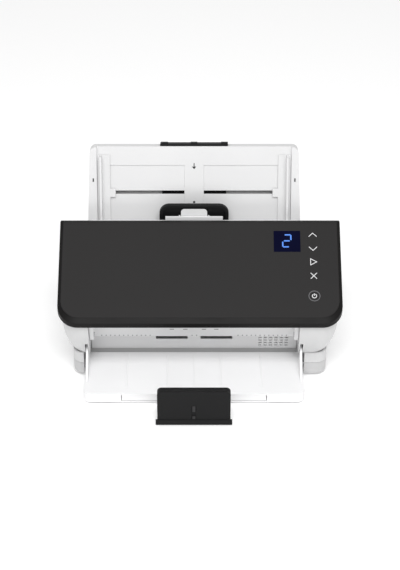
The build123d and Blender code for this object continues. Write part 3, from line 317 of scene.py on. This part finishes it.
def lit_bar(name):
    r = Recipe(name)
    spread = r.noise(900.0, 1.0)
    r.colour(r.mix(spread, (0.04, 0.13, 0.45), (0.06, 0.17, 0.5)))
    r.rough(spread, 0.3, 0.4)
    r.set(Emission_Color=(0.10, 0.28, 0.85, 1.0), Emission_Strength=0.55)
    return r.material


def clear_glass(name):
    r = Recipe(name)
    r.colour(r.mix(r.noise(20.0), (0.62, 0.68, 0.67), (0.7, 0.75, 0.74)))
    r.rough(r.noise(40.0, 3.0), 0.03, 0.09)
    r.bump(r.noise(60.0), 0.00001, 0.1)
    r.set(Alpha=0.45)
    return r.material


def printed(name, colour, rough=0.5):
    """Screen printed ink, slightly uneven."""
    r = Recipe(name)
    r.colour(r.mix(r.noise(700.0, 3.0), shade(colour, 0.93), shade(colour, 1.03)))
    r.rough(r.noise(300.0, 2.0), rough - 0.06, rough + 0.06)
    r.bump(r.noise(2000.0, 2.0), 0.00002, 0.2)
    return r.material


HOUSING_WHITE = (0.63, 0.63, 0.632)
# painted shade: a darker copy of the housing white for the bottom cover, which sits in shade under the pods
PLINTH_PAINTED_SHADE_WHITE = (0.54, 0.54, 0.542)
TRAY_WHITE = (0.75, 0.75, 0.753)
# The output tray's own white; the cover frame also takes it as painted light, a brighter white that lifts
# its shaded strip under the cover's lip
OUTPUT_WHITE = (0.90, 0.90, 0.905)
PANEL_BLACK = (0.019, 0.018, 0.018)


def make_materials():
    return {
        "white": moulded("white_moulding", HOUSING_WHITE, 0.42, edge_highlight=1.1),
        "plinth": moulded("plinth_painted_shade_moulding", PLINTH_PAINTED_SHADE_WHITE, 0.45, edge_highlight=1.08),
        "tray": moulded("tray_moulding", TRAY_WHITE, 0.42, edge_highlight=1.05),
        "output": moulded("output_moulding", OUTPUT_WHITE, 0.45, edge_highlight=1.02),
        "panel": moulded(
            "panel_matte", PANEL_BLACK, 0.5, grain=3200.0, depth=0.00005, edge_highlight=1.15, shine=0.2
        ),
        "black": moulded("black_moulding", (0.0095, 0.0095, 0.01), 0.5, edge_highlight=1.7, shine=0.15),
        "gear": moulded("acetal", (0.05, 0.05, 0.055), 0.4),
        "gloss": gloss("bezel_gloss", (0.009, 0.0085, 0.0085), 0.36),
        "steel": steel("drawn_steel"),
        "sheet_steel": steel("plated_sheet", (0.5, 0.51, 0.52), 0.4, (8.0, 8.0, 8.0)),
        "brass": steel("turned_brass", (0.66, 0.5, 0.25), 0.32),
        "rubber": rubber("tyre_rubber"),
        "feet": rubber("foot_rubber", (0.05, 0.05, 0.05)),
        "board": board("circuit_board"),
        "window": display_glass("display_glass"),
        "digit": lit_bar("lit_digit"),
        "glass": clear_glass("sensor_glass"),
        "ink": printed("white_ink", (0.78, 0.78, 0.79)),
        # grey ink for the printed chin strokes, also used as painted shade for the chin points
        "grey_ink_and_slot_shade": printed("grey_ink_and_slot_shade", (0.32, 0.32, 0.33)),
        "dark_ink": printed("dark_ink", (0.03, 0.03, 0.03)),
        "inlay": moulded("stop_inlay", (0.035, 0.035, 0.036), 0.5, edge_highlight=1.2, shine=0.2),
        "ring": printed("ring_ink", (0.12, 0.12, 0.125), 0.35),
    }


FINISHES = {
    "white": ["base_housing", "rear_cover"],
    "plinth": ["bottom_cover"],
    "tray": [
        "input_tray", "input_tray_back", "left_guide", "right_guide", "left_rack", "right_rack",
        "lower_guide", "gap_lever",
    ],
    # painted light: the cover frame wears the brighter output white so its strip under the lip, which lies
    # in shade, reads bright
    "output": ["output_tray", "tray_extender", "cover_frame"],
    "panel": ["cover_panel", "power_button"],
    "black": [
        "release_latch", "input_extender", "extender_arm", "end_stop", "lower_image_sensor",
        "upper_image_sensor", "dc_jack", "transport_idlers", "exit_idlers",
    ],
    "gear": ["guide_pinion"],
    "gloss": ["cover_bezel"],
    "steel": [
        "base_screws", "drive_motor", "cover_hinge_pins", "tray_hinge_pins", "feed_shaft", "transport_shaft",
        "exit_shaft", "latch_pins", "usb_socket",
    ],
    "sheet_steel": ["chassis_plate_left", "chassis_plate_right"],
    "brass": ["shaft_bushes", "motor_pulley"],
    "rubber": ["drive_belt", "feed_tyres", "transport_tyres", "exit_tyres", "separation_roller"],
    "feet": ["rubber_feet"],
    "board": ["main_board", "control_board"],
    "window": ["display_window"],
    "digit": ["display_digit"],
    "glass": ["lower_sensor_glass", "upper_sensor_glass"],
    "ink": ["touch_icons", "power_icon"],
    "ring": ["power_ring"],
}


def dress(materials):
    for finish, members in FINISHES.items():
        for name in members:
            data = nodes[name].data
            if not data.materials:
                data.materials.append(materials[finish])
            for slot in range(len(data.materials)):
                data.materials[slot] = materials[finish]


# ---------------------------------------------------------------- small printed and moulded details, and painted shade along the exit slot


def solid(name, faces_of, body, material):
    vertices, faces = faces_of
    mesh = bpy.data.meshes.new(name)
    mesh.from_pydata([tuple(v) for v in vertices], [], faces)
    mesh.validate()
    mesh.materials.append(material)
    piece = bpy.data.objects.new(name, mesh)
    bpy.context.collection.objects.link(piece)
    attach(piece, body)
    return piece


def slab(outline, base, thick, transform):
    """A flat sided piece from an outline, lifted off its plane and moved by a matrix."""
    count = len(outline)
    low = [transform @ Vector((x, y, base)) for x, y in outline]
    high = [transform @ Vector((x, y, base + thick)) for x, y in outline]
    faces = [tuple(range(count - 1, -1, -1)), tuple(range(count, 2 * count))]
    for n in range(count):
        after = (n + 1) % count
        faces.append((n, after, count + after, count + n))
    return low + high, faces


def joined(parts):
    vertices, faces = [], []
    for part_vertices, part_faces in parts:
        start = len(vertices)
        vertices += part_vertices
        faces += [tuple(start + n for n in face) for face in part_faces]
    return vertices, faces


def disc(x, y, radius, steps=20):
    turns = [2 * math.pi * n / steps for n in range(steps)]
    return [(x + radius * math.cos(t), y + radius * math.sin(t)) for t in turns]


def bar(x, y, wide, high):
    left, right = x - wide / 2, x + wide / 2
    bottom, top = y - high / 2, y + high / 2
    return [(left, bottom), (right, bottom), (right, top), (left, top)]


def slope(origin, degrees_up):
    """A matrix whose X is right, Y up a face that leans back, and Z out of the face."""
    a = math.radians(degrees_up)
    along = Vector((0, math.cos(a), math.sin(a)))
    normal = Vector((0, -math.sin(a), math.cos(a)))
    turned = Matrix(((1, along.x, normal.x), (0, along.y, normal.y), (0, along.z, normal.z))).to_4x4()
    return Matrix.Translation(origin) @ turned


def printed_slab(outline, face, base=PRINT_LIFT):
    return slab(outline, base, PRINT_THICK, face)


def tray_face():
    """The input tray's surface: a matrix whose X is right, Y up the tray and Z out of it."""
    pinion = joints["pinion_spin"]
    normal = Vector(pinion["axis"]).normalized()
    up = Vector(joints["input_extender_slide"]["axis"]).normalized()
    origin = Vector(pinion["pos_m"])
    rim = max(v.co.dot(normal) for v in nodes["left_guide"].data.vertices)
    surface = rim - GUIDE_HEIGHT
    origin += normal * (surface - origin.dot(normal))
    turned = Matrix(((1, up.x, normal.x), (0, up.y, normal.y), (0, up.z, normal.z))).to_4x4()
    return Matrix.Translation(origin) @ turned


def tray_marks(materials):
    """The printed arrow and dot on the tray's middle, and the ink ticks on its rims."""
    face = tray_face()
    shaft = bar(0, ARROW_UP - ARROW_SHAFT_DROP, *ARROW_SHAFT)
    head_base = ARROW_UP - ARROW_HEAD_DROP
    head = [(-ARROW_HALF, head_base), (0, ARROW_UP - ARROW_TIP_DROP), (ARROW_HALF, head_base)]
    arrow = joined([printed_slab(shaft, face), printed_slab(head, face)])
    solid("feed_arrow", arrow, "body", materials["dark_ink"])
    dot = printed_slab(disc(0, DOT_UP, DOT_RADIUS), face)
    solid("feed_dot", dot, "body", materials["dark_ink"])
    for name, side in (("rim_tick_left", -1), ("rim_tick_right", 1)):
        tick = printed_slab(bar(side * TICK_ACROSS, TICK_UP, *TICK_SIZE), face, RIM_LIFT)
        solid(name, tick, "body", materials["dark_ink"])


def chin_face():
    """The strip that shows under the cover's lip: X is right, Y up the strip, Z out of it."""
    low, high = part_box("cover_frame")
    foot = min((v.co for v in nodes["cover_frame"].data.vertices), key=lambda c: (round(c.z, 4), c.y))
    lean = math.degrees(math.atan2(CHIN_RISE, CHIN_LEAN))
    return slope(((low.x + high.x) / 2, foot.y, foot.z), lean)


def chin_point(across, face):
    return printed_slab(disc(across, CHIN_POINT_UP, CHIN_POINT_RADIUS, CHIN_POINT_STEPS), face)


def chin_marks(materials):
    """Short printed strokes, and a row of small grey points along the strip over the exit that paint the
    shade between the exit slot's ribs.
    """
    face = chin_face()
    stroke_up = CHIN_RISE * CHIN_STROKE_UP
    strokes = [printed_slab(bar(x, stroke_up, *CHIN_STROKE_SIZE), face) for x in CHIN_STROKES]
    solid("chin_strokes", joined(strokes), "cover", materials["grey_ink_and_slot_shade"])
    # painted shade: grey points standing in for the shadowed gaps between the exit slot's ribs
    points = []
    for side in (-1, 1):
        for n in range(CHIN_POINT_COUNT):
            points.append(chin_point(side * (CHIN_POINT_FIRST + CHIN_POINT_PITCH * n), face))
    for across in CHIN_POINT_MIDDLES:
        points.append(chin_point(across, face))
    solid("chin_slot_shade_points", joined(points), "cover", materials["grey_ink_and_slot_shade"])


def stop_inlay(materials):
    """Two paler strips let into the end stop's middle."""
    low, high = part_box("end_stop")
    middle = (low.x + high.x) / 2
    front = joints["end_stop_hinge"]["pos_m"][1] - STOP_FACE
    upright = slope((middle, front, 0), 90)
    strips = []
    for up, tall in (LONG_STRIP, SHORT_STRIP):
        strips.append(slab(bar(0, up, STRIP_WIDTH, tall), PRINT_LIFT, INLAY_THICK, upright))
    solid("stop_inlay", joined(strips), "stop", materials["inlay"])


# ---------------------------------------------------------------- floor


def floor():
    mesh = bpy.data.meshes.new("floor")
    near, far = -FLOOR_HALF, FLOOR_HALF
    corners = [(near, near, 0), (far, near, 0), (far, far, 0), (near, far, 0)]
    mesh.from_pydata(corners, [], [(0, 1, 2, 3)])
    recipe = Recipe("studio_floor")
    recipe.colour(recipe.mix(recipe.noise(2.0), (0.97, 0.97, 0.97), (0.98, 0.98, 0.98)))
    recipe.rough(recipe.noise(3.0), 0.85, 0.95)
    recipe.set(Emission_Color=(1.0, 1.0, 1.0, 1.0), Emission_Strength=0.16)
    mesh.materials.append(recipe.material)
    plane = bpy.data.objects.new("floor", mesh)
    bpy.context.collection.objects.link(plane)
    plane.location.z = -FLOOR_DROP


make_camera()
make_studio()
materials = make_materials()
dress(materials)
tray_marks(materials)
chin_marks(materials)
stop_inlay(materials)
floor()
